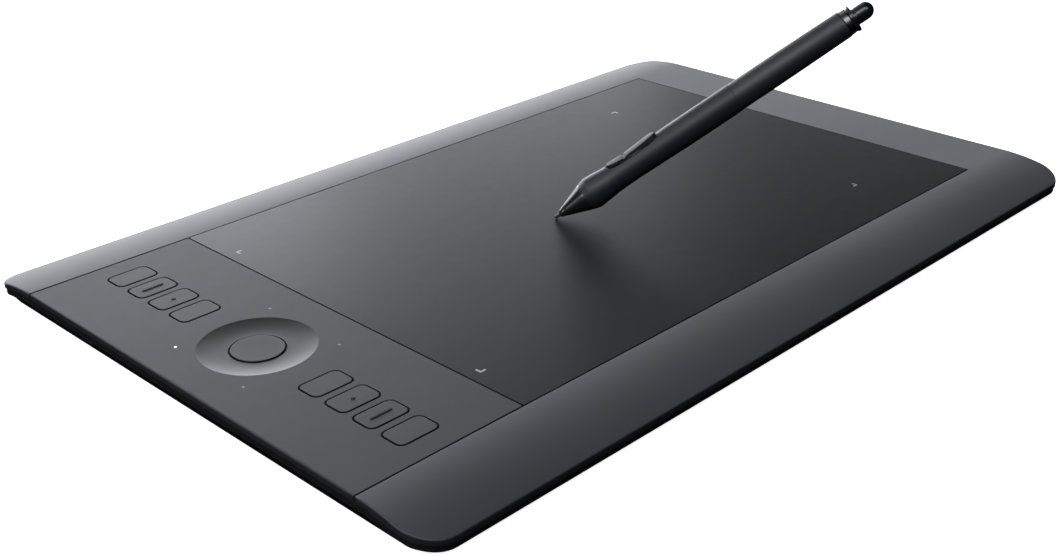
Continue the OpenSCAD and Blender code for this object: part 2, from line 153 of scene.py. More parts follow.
def plate(bm, outline, widths, top, bottom, holes=(), hole_width=0.15 * MM, foot=0.1 * MM):
    """Flat plate with rounded top edges and through holes. Holes are counter-clockwise too."""
    if not isinstance(widths, list):
        widths = [widths] * len(outline)
    loops = [(outline, widths)] + [(hole[::-1], [hole_width] * len(hole)) for hole in holes]
    made = [edge_rings(bm, p, w, lambda x, y: top, lambda x, y: bottom, foot) for p, w in loops]
    fill_loops(bm, [rings[0] for rings in made])
    fill_loops(bm, [rings[-1] for rings in made])


def soften(points, radius, steps=4, closed=False):
    """Rounds the corners of a line of (x, y) points."""
    out = []
    count = len(points)
    for i in range(count):
        here = Vector(points[i])
        if not closed and i in (0, count - 1):
            out.append(tuple(here))
            continue
        before, after = Vector(points[i - 1]), Vector(points[(i + 1) % count])
        cut_in = min(radius, 0.45 * (before - here).length)
        cut_out = min(radius, 0.45 * (after - here).length)
        start = here + (before - here).normalized() * cut_in
        end = here + (after - here).normalized() * cut_out
        for k in range(steps + 1):
            t = k / steps
            out.append(tuple(start * (1 - t) ** 2 + here * 2 * t * (1 - t) + end * t ** 2))
    return out


def spline(points, steps=6):
    """Smooth line through its points."""
    out = []
    for i in range(len(points) - 1):
        p = [Vector(points[max(0, min(len(points) - 1, i + k))]) for k in (-1, 0, 1, 2)]
        for k in range(steps):
            t = k / steps
            out.append(tuple(0.5 * (2 * p[1] + (p[2] - p[0]) * t
                                    + (2 * p[0] - 5 * p[1] + 4 * p[2] - p[3]) * t ** 2
                                    + (3 * p[1] - p[0] - 3 * p[2] + p[3]) * t ** 3)))
    out.append(tuple(points[-1]))
    return out


def lathe(bm, profile, turns=96, closed=False):
    """Turns a (radius, height) line about Z. A closed line makes a tube, an open one ends on the axis."""
    rings = []
    for radius, height in profile:
        if radius < MERGE:
            rings.append([bm.verts.new((0, 0, height))])
            continue
        rings.append([bm.verts.new((radius * math.cos(a), radius * math.sin(a), height))
                      for a in (2 * math.pi * k / turns for k in range(turns))])
    pairs = list(zip(rings, rings[1:]))
    if closed:
        pairs.append((rings[-1], rings[0]))
    for low, high in pairs:
        for i in range(turns):
            j = (i + 1) % turns
            corners = [low[i % len(low)], low[j % len(low)], high[j % len(high)], high[i % len(high)]]
            bm.faces.new(list(dict.fromkeys(corners)))


# ---------- pieces ----------

WORN_ANGLE = math.radians(8)    # a convex edge sharper than this is rubbed
CREASE_ANGLE = math.radians(40) # an edge sharper than this isn't shaded smooth
WALL_LIMIT = 0.6                # cosine to the facing direction below which a face is a wall and gets the painted shade material


def finish_piece(name, bm, material, body, nodes=(), matrix=None, weighted=True, shade_walls=None,
                 facing=(0, 0, 1)):
    """Makes the mesh an object, with smooth shading except over sharp edges.

    shade_walls is a darker material that paints shade on the faces that look away from the direction
    facing."""
    bmesh.ops.remove_doubles(bm, verts=bm.verts, dist=MERGE)
    bmesh.ops.dissolve_degenerate(bm, dist=MERGE, edges=bm.edges)
    bmesh.ops.recalc_face_normals(bm, faces=bm.faces)
    for face in bm.faces:
        face.smooth = True
        # faces turned away from facing get the painted shade material
        if shade_walls and face.normal.dot(facing) < WALL_LIMIT:
            face.material_index = 1
    for edge in bm.edges:
        flat = len(edge.link_faces) == 2 and edge.calc_face_angle() < CREASE_ANGLE
        edge.smooth = flat and not edge.seam
        edge.seam = False
    rounded = [max((e.calc_face_angle_signed(0) for e in v.link_edges), default=0) for v in bm.verts]
    mesh = bpy.data.meshes.new(name)
    if matrix is not None:
        bm.transform(matrix)
    bm.to_mesh(mesh)
    bm.free()
    worn = mesh.attributes.new("edge_wear", "FLOAT", "POINT")
    for point, angle in zip(worn.data, rounded):
        point.value = 1.0 if angle > WORN_ANGLE else 0.0
    piece = bpy.data.objects.new(name, mesh)
    bpy.context.scene.collection.objects.link(piece)
    mesh.materials.append(material)
    if shade_walls:
        mesh.materials.append(shade_walls)
    if weighted:
        normals = piece.modifiers.new("normals", "WEIGHTED_NORMAL")
        normals.keep_sharp = True
        normals.weight = 80
    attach(piece, body)
    if nodes:
        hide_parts(*nodes)
    return piece


# ---------- materials ----------

def start_material(name):
    material = bpy.data.materials.new(name)
    material.use_nodes = True
    tree = material.node_tree
    shader = tree.nodes["Principled BSDF"]
    place = tree.nodes.new("ShaderNodeTexCoord").outputs["Object"]
    return material, tree, shader, place


def noise(tree, place, scale, detail=2.0, rough=0.5):
    node = tree.nodes.new("ShaderNodeTexNoise")
    node.inputs["Scale"].default_value = scale
    node.inputs["Detail"].default_value = detail
    node.inputs["Roughness"].default_value = rough
    tree.links.new(place, node.inputs["Vector"])
    return node.outputs["Fac"]


def spread(tree, value, low, high, to_low, to_high):
    node = tree.nodes.new("ShaderNodeMapRange")
    for socket, number in zip(node.inputs[1:5], (low, high, to_low, to_high)):
        socket.default_value = number
    tree.links.new(value, node.inputs[0])
    return node.outputs[0]


def mix_colours(tree, factor, first, second):
    """Mix of two colours, each a tuple or another node's output."""
    node = tree.nodes.new("ShaderNodeMix")
    node.data_type = "RGBA"
    tree.links.new(factor, node.inputs["Factor"])
    for colour, socket in ((first, node.inputs[6]), (second, node.inputs[7])):
        if isinstance(colour, tuple):
            socket.default_value = (*colour, 1)
        else:
            tree.links.new(colour, socket)
    return node.outputs[2]


def edge_mask(tree, place):
    """1 along rounded convex edges, 0 elsewhere, broken up by noise."""
    node = tree.nodes.new("ShaderNodeAttribute")
    node.attribute_name = "edge_wear"
    rubbed = spread(tree, noise(tree, place, 320, 3.0), 0.35, 0.6, 0.4, 1)
    both = tree.nodes.new("ShaderNodeMath")
    both.operation = "MULTIPLY"
    tree.links.new(node.outputs["Fac"], both.inputs[0])
    tree.links.new(rubbed, both.inputs[1])
    return both.outputs[0]


def add_bump(tree, shader, height, strength, distance):
    node = tree.nodes.new("ShaderNodeBump")
    node.inputs["Strength"].default_value = strength
    node.inputs["Distance"].default_value = distance
    tree.links.new(height, node.inputs["Height"])
    tree.links.new(node.outputs["Normal"], shader.inputs["Normal"])


BUMP_HEIGHT = 0.1 * MM


def moulded(name, colour, rough, grain=2600, depth=0.02, level=0.5, mottle=0.04, wear=0.25, coat=0.0,
            sheen=0.0):
    """Moulded plastic or rubber: fine grain, faint mottling, and lighter edges."""
    material, tree, shader, place = start_material(name)
    shader.inputs["Specular IOR Level"].default_value = level
    shader.inputs["Coat Weight"].default_value = coat
    shader.inputs["Coat Roughness"].default_value = 0.08
    if sheen:
        shader.inputs["Sheen Weight"].default_value = sheen
        shader.inputs["Sheen Roughness"].default_value = 0.5
    cloud = noise(tree, place, 45, 3.0)
    fine = noise(tree, place, grain, 1.0)
    dark = tuple(c * (1 - mottle) for c in colour)
    light = tuple(c * (1 + mottle) for c in colour)
    worn = tuple(c * (1 + wear) + 0.01 * wear for c in colour)
    body = mix_colours(tree, spread(tree, cloud, 0.35, 0.65, 0, 1), dark, light)
    rubbed = mix_colours(tree, edge_mask(tree, place), body, worn)
    tree.links.new(rubbed, shader.inputs["Base Color"])
    patches = noise(tree, place, 160, 4.0, 0.6)
    uneven = spread(tree, patches, 0.3, 0.7, rough - 0.015, rough + 0.015)
    tree.links.new(uneven, shader.inputs["Roughness"])
    add_bump(tree, shader, fine, depth, BUMP_HEIGHT)
    return material


def metal(name, colour, rough, streak=900):
    """Plated or drawn metal, with streaks and dull patches."""
    material, tree, shader, place = start_material(name)
    shader.inputs["Metallic"].default_value = 1
    cloud = noise(tree, place, streak, 3.0)
    dull = tuple(c * 0.82 for c in colour)
    tree.links.new(mix_colours(tree, spread(tree, cloud, 0.3, 0.7, 0, 1), dull, colour),
                   shader.inputs["Base Color"])
    tree.links.new(spread(tree, cloud, 0.3, 0.7, rough - 0.05, rough + 0.07), shader.inputs["Roughness"])
    add_bump(tree, shader, noise(tree, place, 2 * streak, 1.0), 0.03, BUMP_HEIGHT)
    return material


def light_lens(name, colour, strength):
    """Clear pin with light behind it."""
    material, tree, shader, place = start_material(name)
    shader.inputs["Base Color"].default_value = (*colour, 1)
    shader.inputs["Emission Color"].default_value = (*colour, 1)
    shader.inputs["Emission Strength"].default_value = strength
    tree.links.new(spread(tree, noise(tree, place, 3000), 0.3, 0.7, 0.15, 0.3), shader.inputs["Roughness"])
    return material


CASE = moulded("case_soft_touch", (0.0205, 0.0215, 0.0275), 0.68, grain=2400, level=0.72, sheen=0.45)
PANEL = moulded("panel_satin", (0.04, 0.041, 0.045), 0.58, level=0.33)
KEYS = moulded("key_satin", (0.036, 0.037, 0.04), 0.58, level=0.42)
DISH = moulded("ring_satin", (0.01, 0.01, 0.011), 0.46, depth=0.01, level=0.29)
SHEET = moulded("sheet_surface_film", (0.0025, 0.0028, 0.005), 0.42, grain=4200, depth=0.05, level=0.177,
                wear=0.1)
LOWER = moulded("lower_case_textured", (0.005, 0.005, 0.006), 0.55, grain=1600, depth=0.12, level=0.25)
# Painted shade: darker and without sheen, for the lips, walls and hole walls of the upper shell and the
# key panel
RIM_SHADE = moulded("rim_painted_shade", (0.012, 0.0125, 0.016), 0.55, grain=2400, level=0.42, wear=0.1)
# Painted shade: near-black for the walls of the gaps round the keys, dish, button and side switch, and all
# over the key bars and dots
GAP_SHADE = moulded("gap_painted_shade", (0.005, 0.005, 0.007), 0.6, grain=2400, level=0.25, wear=0.1)
FOOT = moulded("foot_rubber_black", (0.02, 0.02, 0.02), 0.8, grain=2200, depth=0.1, level=0.3)
GRIP = moulded("pen_grip_rubber", (0.007, 0.0074, 0.012), 0.5, grain=3600, depth=0.06, level=0.62)
BARREL = moulded("pen_satin", (0.007, 0.0074, 0.012), 0.52, grain=3600, depth=0.03, level=0.78)
GLOSS = moulded("pen_gloss_black", (0.006, 0.006, 0.007), 0.3, grain=900, depth=0.0, mottle=0.05, coat=0.2)
SWITCH = moulded("pen_switch_satin", (0.14, 0.143, 0.155), 0.62, depth=0.05, level=0.4, wear=0.1)
NIB = moulded("nib_plastic", (0.03, 0.03, 0.032), 0.4, grain=3000, depth=0.05)
INNER = moulded("inner_plastic", (0.02, 0.02, 0.02), 0.5, grain=1500, depth=0.06)
BOARD = moulded("circuit_board_mask", (0.01, 0.09, 0.035), 0.35, grain=700, depth=0.08, mottle=0.3)
FILM = moulded("ribbon_polyimide", (0.35, 0.15, 0.03), 0.3, grain=600, depth=0.03)
PLATED = metal("plated_metal_bright", (0.62, 0.62, 0.63), 0.3)
STEEL = metal("screw_steel_plain", (0.55, 0.55, 0.56), 0.35)
COPPER = metal("coil_copper_wire", (0.6, 0.3, 0.15), 0.4, streak=2500)
ACCENT = metal("accent_dark_chrome", (0.16, 0.16, 0.17), 0.3, streak=1500)
LIT = light_lens("light_on", (1.0, 1.0, 1.0), 1.2)
DIM = light_lens("light_dim", (0.2, 0.205, 0.215), 0.25)
MARK = moulded("mark_ink", (0.4, 0.4, 0.42), 0.5, grain=3000, depth=0.05)


# ---------- tablet ----------

def fall(y, drop):
    """Depth below the middle: none between the seams, then a circular arc to drop at the edge."""
    run = HALF_W - SEAM_Y
    bend = (run * run + drop * drop) / (2 * drop)
    out = max(0.0, abs(y) - SEAM_Y)
    return bend - math.sqrt(bend * bend - out * out)


def crown(y):
    """Height of the upper shell."""
    return TOP - fall(y, EDGE_DROP)


def border_loop(bm):
    """Border of an open surface, as a counter-clockwise ring of vertices."""
    start = next(v for v in bm.verts if v.is_boundary)
    loop = [start]
    step = next(e for e in start.link_edges if e.is_boundary)
    while True:
        loop.append(step.other_vert(loop[-1]))
        if loop[-1] is start:
            break
        step = next(e for e in loop[-1].link_edges if e.is_boundary and e is not step)
    loop = loop[:-1]
    area = sum(a.co.x * b.co.y - b.co.x * a.co.y for a, b in zip(loop, loop[1:] + loop[:1]))
    return loop if area >= 0 else loop[::-1]


def build_top_case():
    """Upper shell: two curved palm strips and the far strip, round the sheet and the key panel."""
    inner_y = sheet_hi.y + SEAM
    inner_x = sheet_hi.x + SEAM
    centre_x, centre_y = HALF_L - CORNER, HALF_W - CORNER
    radius = CORNER - OUTER_EDGE
    corner_rows, strip_rows, columns = 14, 8, 10
    bm = bmesh.new()

    def reach(y):
        out = abs(y) - centre_y
        return centre_x + (radius if out <= 0 else math.sqrt(max(0.0, radius ** 2 - out ** 2)))

    strip = [centre_y + radius * math.cos(math.radians(90 * k / corner_rows))
             for k in range(corner_rows + 1)]
    strip += [centre_y + (inner_y + SEAM_EDGE - centre_y) * k / strip_rows
              for k in range(1, strip_rows + 1)]
    middle = [share * inner_y for share in (0.6, 0.2, -0.2, -0.6)]
    fixed = [centre_x * k / columns for k in range(-columns, columns - 1)]
    fixed += [inner_x + SEAM_EDGE, centre_x]
    rows = [(y, True) for y in strip] + [(y, False) for y in middle] + [(-y, True) for y in strip[::-1]]

    def patch(lift):
        grid = []
        for y, whole in rows:
            xs = [-reach(y)] + fixed + [reach(y)]
            grid.append([bm.verts.new((x, y, crown(y) + lift)) if whole or x > inner_x else None
                         for x in xs])
        for upper, lower in zip(grid, grid[1:]):
            for i in range(len(upper) - 1):
                corners = (upper[i], upper[i + 1], lower[i + 1], lower[i])
                if None not in corners:
                    bm.faces.new(corners)

    patch(0)
    bmesh.ops.remove_doubles(bm, verts=bm.verts, dist=MERGE)
    loop = border_loop(bm)
    flat = [(v.co.x, v.co.y) for v in loop]
    widths = []
    for i, (x, y) in enumerate(flat):
        nx, ny = flat[(i + 1) % len(flat)]
        in_y = max(abs(y), abs(ny)) < inner_y + 2 * SEAM_EDGE
        in_x = min(x, nx) < inner_x + 2 * SEAM_EDGE
        widths.append(SEAM_EDGE if in_y and in_x else OUTER_EDGE)
    outline = offset_loop(flat, widths)
    rings = [loop]
    radii = [max(widths[i - 1], widths[i]) for i in range(len(flat))]
    rounds = 5
    for k in range(1, rounds + 1):
        turn = math.radians(90 / rounds * k)
        moved = offset_loop(flat, [w * math.sin(turn) for w in widths])
        rings.append([bm.verts.new((x, y, crown(y) - r * (1 - math.cos(turn))))
                      for (x, y), r in zip(moved, radii)])
    foot = 0.15 * MM
    rings.append([bm.verts.new((x, y, crown(y) - SKIN + foot)) for x, y in outline])
    under = offset_loop(flat, [w - foot for w in widths])
    rings.append([bm.verts.new((x, y, crown(y) - SKIN)) for x, y in under])
    rings.append([bm.verts.new((x, y, crown(y) - SKIN)) for x, y in flat])
    join_rings(bm, rings)
    patch(-SKIN)
    deck = rounded_rect((inner_x - sheet_lo.x) / 2 + SEAM_EDGE, inner_y + SEAM_EDGE, 0.2 * MM,
                        centre=((inner_x + sheet_lo.x) / 2 + SEAM_EDGE, 0), steps=1)
    plate(bm, deck, 0.05 * MM, sheet_lo.z, TOP - SKIN)
    # its lips and walls take the painted shade material
    finish_piece("case_upper", bm, CASE, "tablet", ["top_case"], shade_walls=RIM_SHADE)


def key_nodes():
    return ["key_%d" % i for i in range(1, 9)]


def cap_rect(node, flange):
    """Half sizes and centre of a key's cap, which is narrower than its hidden flange."""
    low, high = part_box(node)
    return ((high.x - low.x) / 2 - flange, (high.y - low.y) / 2 - flange,
            ((high.x + low.x) / 2, (high.y + low.y) / 2))


KEY_FLANGE = 1.0 * MM
KEY_GAP = 0.55 * MM
KEY_RAISE = 0.1 * MM
KEY_TRIM = 0.08 * MM    # what a key's cap is drawn in, so that its gap shows
KEY_CORNER = 2.4 * MM
KEY_MARKS = {"key_2": "bar", "key_7": "bar", "key_3": "dot", "key_6": "dot"}
BUTTON_GAP = 0.6 * MM
RING_R = (ring_hi.x - ring_lo.x) / 2
RING_DEPTH = 1.2 * MM
LED_OFFSET = 20 * MM
LED_R = 0.5 * MM
SEAM_EXTRA = 0.12 * MM  # what the key panel's long edges are drawn in, so that the seams show
ACTIVE_HALF = (112.1 * MM, 69.85 * MM)
ACTIVE_X = -3.3 * MM


def led_spots():
    return [(KEY_X + sx * LED_OFFSET, sy * LED_OFFSET) for sx in (-1, 1) for sy in (-1, 1)]


def build_key_panel():
    """Cover at the key end, with its openings."""
    low_y, high_y = panel_lo.y + SEAM_EXTRA, panel_hi.y - SEAM_EXTRA
    outline = [(panel_hi.x, high_y), (panel_lo.x, high_y), (panel_lo.x, low_y), (panel_hi.x, low_y)]
    widths = [SEAM_EDGE, OUTER_EDGE, SEAM_EDGE, SEAM_EDGE]
    holes = []
    for node in key_nodes():
        hx, hy, centre = cap_rect(node, KEY_FLANGE)
        holes.append(rounded_rect(hx + KEY_GAP, hy + KEY_GAP, KEY_CORNER + KEY_GAP, centre))
    holes.append(circle(RING_R, (KEY_X, 0), 160))
    holes += [circle(LED_R + 0.05 * MM, spot, 20) for spot in led_spots()]
    bm = bmesh.new()
    plate(bm, outline, widths, TOP, TOP - SKIN, holes, hole_width=0.12 * MM)
    # its outer lip and the walls of its openings take the painted shade material
    finish_piece("key_panel_cover", bm, PANEL, "tablet", ["key_panel"], shade_walls=RIM_SHADE)


def build_sheet():
    """Drawing surface."""
    half_x, half_y = (sheet_hi.x - sheet_lo.x) / 2, sheet_hi.y
    middle = (sheet_lo.x + sheet_hi.x) / 2
    bm = bmesh.new()
    plate(bm, rounded_rect(half_x, half_y, 0.3 * MM, (middle, 0), 2), 0.12 * MM, TOP, sheet_lo.z)
    finish_piece("sheet_surface", bm, SHEET, "tablet", ["drawing_sheet"])


def build_corner_marks():
    """Printed corner marks of the active area: four small L shapes."""
    arm, line = 2.7 * MM, 0.8 * MM
    lift = 0.02 * MM
    bm = bmesh.new()
    for sx in (-1, 1):
        for sy in (-1, 1):
            x, y = ACTIVE_X + sx * ACTIVE_HALF[0], sy * ACTIVE_HALF[1]
            corner = [(x, y), (x - sx * arm, y), (x - sx * arm, y - sy * line),
                      (x - sx * line, y - sy * line), (x - sx * line, y - sy * arm), (x, y - sy * arm)]
            if sx * sy < 0:
                corner = corner[::-1]
            plate(bm, corner, 0.01 * MM, TOP + lift, TOP - 0.05 * MM, foot=0.01 * MM)
    finish_piece("corner_marks", bm, MARK, "tablet")


def build_keys():
    """Eight caps, each on its hidden flange, two with a raised bar and two with a raised dot."""
    for node in key_nodes():
        hx, hy, (x, y) = cap_rect(node, KEY_FLANGE)
        low_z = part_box(node)[0].z
        bm = bmesh.new()
        cap = rounded_rect(hx - KEY_TRIM, hy - KEY_TRIM, KEY_CORNER, (x, y))
        plate(bm, cap, 0.2 * MM, TOP + KEY_RAISE, TOP - SKIN - 0.1 * MM)
        flange = rounded_rect(hx + KEY_FLANGE, hy + KEY_FLANGE, KEY_CORNER, (x, y))
        plate(bm, flange, 0.05 * MM, low_z + 0.7 * MM, low_z)
        mark = {"bar": rounded_rect(4.5 * MM, 0.6 * MM, 0.59 * MM, (x, y)),
                "dot": circle(0.8 * MM, (x, y), 32)}.get(KEY_MARKS.get(node))
        if mark:
            cap_faces = set(bm.faces)
            plate(bm, mark, 0.2 * MM, TOP + KEY_RAISE + 0.25 * MM, TOP - 0.3 * MM)
            # the bar or dot is painted all over with the gap's painted shade
            for face in set(bm.faces) - cap_faces:
                face.material_index = 1
        # walls of the cap and flange take the painted shade of the gap
        finish_piece(node + "_top", bm, KEYS, node + "_cap", [node], shade_walls=GAP_SHADE)


def build_ring():
    """Concave dish, steepest at its rim and level at the button, and the button itself."""
    button_lo, button_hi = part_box("ring_button")
    flange = BUTTON_GAP + KEY_FLANGE
    button_r = (button_hi.x - button_lo.x) / 2 - flange
    inner = button_r + BUTTON_GAP
    run = RING_R - inner
    bowl = (run * run + RING_DEPTH * RING_DEPTH) / (2 * RING_DEPTH)
    steps = 24
    across = [run * k / steps for k in range(steps + 1)]
    rim = [(inner + a, TOP - RING_DEPTH + bowl - math.sqrt(bowl ** 2 - a ** 2)) for a in across]
    lip = 0.1 * MM
    rim[0] = (inner + lip, rim[0][1])
    profile = [(inner, TOP - SKIN), (inner, rim[0][1] - lip)] + rim + [(RING_R, TOP - SKIN)]
    bm = bmesh.new()
    lathe(bm, profile, 160, closed=True)
    # the dish's walls take the painted shade of the gaps
    finish_piece("ring_dish", bm, DISH, "tablet", ["touch_ring"],
                 Matrix.Translation((KEY_X, 0, 0)), shade_walls=GAP_SHADE)
    top = button_hi.z
    cap = soften([(0, top - 0.08 * MM), (button_r * 0.6, top - 0.04 * MM), (button_r, top),
                  (button_r, TOP - SKIN - 0.1 * MM), (button_r + flange, TOP - SKIN - 0.1 * MM),
                  (button_r + flange, button_lo.z), (0, button_lo.z)], 0.25 * MM)
    bm = bmesh.new()
    lathe(bm, cap, 128)
    # the button's walls take the painted shade of its gap
    finish_piece("ring_button_top", bm, KEYS, "ring_button_cap", ["ring_button"],
                 Matrix.Translation((KEY_X, 0, 0)), shade_walls=GAP_SHADE)


def build_light_pins():
    """Four clear pins, of which the one at the outer back corner is lit."""
    low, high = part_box("light_guides")
    bm = bmesh.new()
    foot_r = 1.3 * MM
    line = soften([(0, high.z), (LED_R, high.z), (LED_R, low.z + MM), (foot_r, low.z + MM),
                   (foot_r, low.z), (0, low.z)], 0.1 * MM, 3)
    lit_depth = 0.3 * MM
    for x, y in led_spots():
        pin = bmesh.new()
        lathe(pin, line, 24)
        pin.transform(Matrix.Translation((x, y, 0)))
        shell = bpy.data.meshes.new("pin")
        pin.to_mesh(shell)
        pin.free()
        first = len(bm.faces)
        bm.from_mesh(shell)
        bpy.data.meshes.remove(shell)
        bm.faces.ensure_lookup_table()
        for face in bm.faces[first:]:
            lit = x < KEY_X and y > 0 and face.calc_center_median().z > high.z - lit_depth
            face.material_index = 1 if lit else 0
    piece = finish_piece("light_pins", bm, DIM, "tablet", ["light_guides"])
    piece.data.materials.append(LIT)


# ---------- lower shell and feet ----------

SETBACK = 0.5 * MM      # what the rim stands in from the upper shell
BELLY_INSET = 4.3 * MM  # what the belly is drawn in at its bottom
RIM_Z = TOP - 5.3 * MM
RIM_DROP = 4.7 * MM     # fall of the rim from the seam to the long edge
PART_GAP = 0.35 * MM
WALL = 2.2 * MM
FLOOR_Z = lower_lo.z + 1.8 * MM
FOOT_HALF = (18 * MM, 5 * MM)
FOOT_CORNER = 3 * MM
FOOT_STEPS = ((0.5, 0), (0.15, 0.08), (0, 0.4), (0, 1.15))      # inset and height, in mm
FOOT_PLAY = 0.2 * MM
FOOT_RECESS = 0.4 * MM
SCREW_RECESS = (2.6 * MM, 1.5 * MM)     # radius and depth
NOTCH_HALF_Y = 5.75 * MM
NOTCH_LOW_Z = 2.7 * MM
FOOT_SPOTS = [(x * MM, y * MM) for x in (-140, 0, 140) for y in (-104, 104)]
SCREW_SPOTS = [(x * MM, y * MM) for x in (-172, -60, 60, 172) for y in (-106, 106)]
SCREW_SPOTS += [(x * MM, y * MM) for x in (-177, -128) for y in (-88, 88)]


def rim_under(y):
    """Underside of the lower rim, which falls toward the front and back edges."""
    return RIM_Z - fall(y, RIM_DROP)


def build_bottom_case():
    """Lower shell: drawn-in belly under a rim that follows the upper shell."""
    steps, side_steps = 12, 16
    corners = [(1, 1), (-1, 1), (-1, -1), (1, -1)]
    base = []
    for quarter, (sx, sy) in enumerate(corners):
        cx, cy = sx * (HALF_L - CORNER), sy * (HALF_W - CORNER)
        turns = [math.radians(90 * (quarter + k / steps)) for k in range(steps + 1)]
        base += [((cx, cy), (math.cos(a), math.sin(a))) for a in turns]
        nx, ny = corners[(quarter + 1) % 4]
        ex, ey = nx * (HALF_L - CORNER), ny * (HALF_W - CORNER)
        last = (math.cos(turns[-1]), math.sin(turns[-1]))
        base += [((cx + (ex - cx) * k / side_steps, cy + (ey - cy) * k / side_steps), last)
                 for k in range(1, side_steps)]
    slope = (BELLY_INSET - SETBACK) / (RIM_Z - lower_lo.z)
    bm = bmesh.new()

    def ring(inset, height):
        made = []
        for (cx, cy), (nx, ny) in base:
            outer_y = cy + ny * (CORNER - SETBACK)
            away = CORNER - inset(outer_y)
            x, y = cx + nx * away, cy + ny * away
            made.append(bm.verts.new((x, y, height(outer_y))))
        return made

    def belly(y):
        return BELLY_INSET - (rim_under(y) - lower_lo.z) * slope

    fillet = 0.4 * MM
    ease = 0.25 * MM
    rings = [
        ring(lambda y: BELLY_INSET + fillet, lambda y: lower_lo.z),
        ring(lambda y: BELLY_INSET + 0.3 * fillet, lambda y: lower_lo.z + 0.15 * fillet),
        ring(lambda y: BELLY_INSET - 0.6 * fillet, lambda y: lower_lo.z + 0.8 * fillet),
        ring(lambda y: max(belly(y), SETBACK + 2 * ease), lambda y: rim_under(y) - ease),
        ring(lambda y: SETBACK + ease, lambda y: rim_under(y)),
        ring(lambda y: SETBACK, lambda y: rim_under(y) + ease),
        ring(lambda y: SETBACK, lambda y: crown(y) - SKIN - PART_GAP - ease),
        ring(lambda y: SETBACK + ease, lambda y: crown(y) - SKIN - PART_GAP),
        ring(lambda y: SETBACK + WALL, lambda y: crown(y) - SKIN - PART_GAP),
        ring(lambda y: max(belly(y), SETBACK) + WALL, lambda y: rim_under(y)),
        ring(lambda y: BELLY_INSET + WALL, lambda y: FLOOR_Z)]
    join_rings(bm, rings)
    half_x, half_y = FOOT_HALF[0] + FOOT_PLAY, FOOT_HALF[1] + FOOT_PLAY
    hollows = [(rounded_rect(half_x, half_y, FOOT_CORNER + FOOT_PLAY, spot), FOOT_RECESS)
               for spot in FOOT_SPOTS]
    hollows += [(circle(SCREW_RECESS[0], spot, 32), SCREW_RECESS[1]) for spot in SCREW_SPOTS]
    floor_loops = [rings[0]]
    for points, deep in hollows:
        mouth = [bm.verts.new((x, y, lower_lo.z)) for x, y in points]
        roof = [bm.verts.new((x, y, lower_lo.z + deep)) for x, y in points]
        join_rings(bm, [mouth, roof])
        bm.faces.new(roof)
        floor_loops.append(mouth)
    fill_loops(bm, floor_loops)
    bm.faces.new(rings[-1])
    piece = finish_piece("case_lower", bm, LOWER, "tablet", ["bottom_case"],
                         weighted=False)
    cut_notch(piece)


def cut_notch(piece):
    """Opens the belly at the key end, round the inlet's mouth."""
    inlet_lo, inlet_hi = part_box("usb_inlet")
    middle = (inlet_lo.y + inlet_hi.y) / 2
    play = 0.2 * MM
    shallow = rounded_rect(NOTCH_HALF_Y, 0.5 * (RIM_Z - NOTCH_LOW_Z), 0.8 * MM,
                           (middle, 0.5 * (RIM_Z + NOTCH_LOW_Z)), 4)
    half_y, half_z = (inlet_hi.y - inlet_lo.y) / 2 + play, (inlet_hi.z - inlet_lo.z) / 2 + play
    deep = rounded_rect(half_y, half_z, 0.4 * MM, (middle, (inlet_lo.z + inlet_hi.z) / 2), 3)
    for outline, reach in ((shallow, inlet_lo.x), (deep, inlet_hi.x + play)):
        bm = bmesh.new()
        ends = [[bm.verts.new((x, y, z)) for y, z in outline] for x in (-HALF_L - MM, reach)]
        join_rings(bm, ends)
        for end in ends:
            bm.faces.new(end)
        bmesh.ops.recalc_face_normals(bm, faces=bm.faces)
        mesh = bpy.data.meshes.new("cutter")
        bm.to_mesh(mesh)
        bm.free()
        cutter = bpy.data.objects.new("cutter", mesh)
        bpy.context.scene.collection.objects.link(cutter)
        carve = piece.modifiers.new("carve", "BOOLEAN")
        carve.operation = "DIFFERENCE"
        carve.solver = "EXACT"
        carve.object = cutter
        bpy.context.view_layer.update()
        carved = piece.evaluated_get(bpy.context.evaluated_depsgraph_get())
        shaped = bpy.data.meshes.new_from_object(carved)
        piece.modifiers.remove(carve)
        piece.data = shaped
        bpy.data.objects.remove(cutter)


def build_feet():
    """Six rubber pads, each in its recess."""
    bm = bmesh.new()
    for spot in FOOT_SPOTS:
        rings = []
        outline = rounded_rect(*FOOT_HALF, FOOT_CORNER, spot)
        for inset, height in FOOT_STEPS:
            loop = offset_loop(outline, [-inset * MM] * len(outline))
            rings.append([bm.verts.new((x, y, height * MM)) for x, y in loop])
        join_rings(bm, rings)
        bm.faces.new(rings[0])
        bm.faces.new(rings[-1])
    finish_piece("feet", bm, FOOT, "tablet", ["rubber_feet"])


# ---------- pen: sizes in mm, heights from the nib's tip ----------

SWITCH_MID = 41.1
PIVOT_X = 2.8       # distance of the switch's pin from the axis
CARRIER_R = 4.42    # bore of the sleeve and the barrel
NIB_R = 0.85
ERASER_R = 3.5
ERASER_END = 151.3


def pen_matrix():
    """Pen's own frame: Z from the nib's tip to the eraser, X toward the side switch."""
    joints = {j["name"]: j for j in frame["joints"]}
    z = Vector(joints["nib_press"]["axis"]).normalized()
    y = Vector(joints["switch_rock"]["axis"]).normalized()
    x = y.cross(z).normalized()
    pivot = Vector(joints["switch_rock"]["pos_m"])
    tip = pivot - x * PIVOT_X * MM - z * SWITCH_MID * MM
    turn = Matrix((x, z.cross(x), z)).transposed().to_4x4()
    return Matrix.Translation(tip) @ turn


PEN = pen_matrix()


def pen_lathe(name, profile, material, body, nodes, closed=True, turns=96):
    """Turned piece about the pen's axis, from (radius, height) points."""
    bm = bmesh.new()
    lathe(bm, [(r * MM, z * MM) for r, z in profile], turns, closed=closed)
    finish_piece(name, bm, material, body, nodes, PEN)


